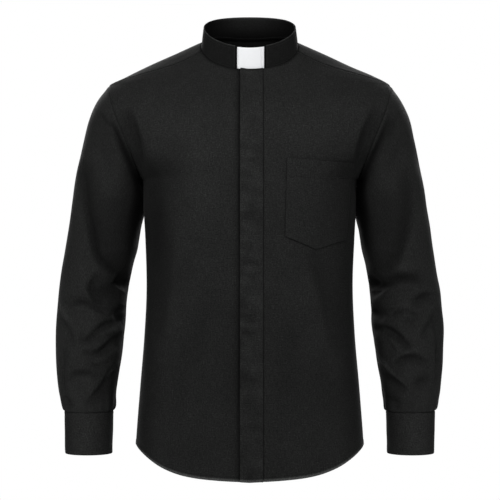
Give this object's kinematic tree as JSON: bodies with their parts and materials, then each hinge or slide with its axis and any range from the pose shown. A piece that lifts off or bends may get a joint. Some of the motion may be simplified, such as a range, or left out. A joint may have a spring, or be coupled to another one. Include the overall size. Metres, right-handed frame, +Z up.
{
  "type": "clergy shirt",
  "caption": "Long-sleeved black clergy shirt with a stand collar, white collar tab, covered fly front and chest pocket, hollow and filled out as worn.",
  "frame": {"origin": "middle of the neck base, at the height where the wearer's shoulders carry the shirt", "axes": "+Z up towards the collar, -Y towards the front of the shirt, +X towards the wearer's left"},
  "size_m": [0.6556, 0.2507, 0.7935],
  "materials": {
    "cloth": "matte",
    "tab": "satin",
    "button": "gloss"
  },
  "bodies": {
    "root": {"front_right": "cloth", "front_left": "cloth", "back": "cloth", "yoke": "cloth", "fly_placket": "cloth", "pocket": "cloth", "collar_band": "cloth", "collar_tab": "tab", "sleeve_right": "cloth", "sleeve_placket_right": "cloth", "cuff_right": "cloth", "cuff_button_right": "button", "sleeve_left": "cloth", "sleeve_placket_left": "cloth", "cuff_left": "cloth", "cuff_button_left": "button"}
  },
  "joints": []
}
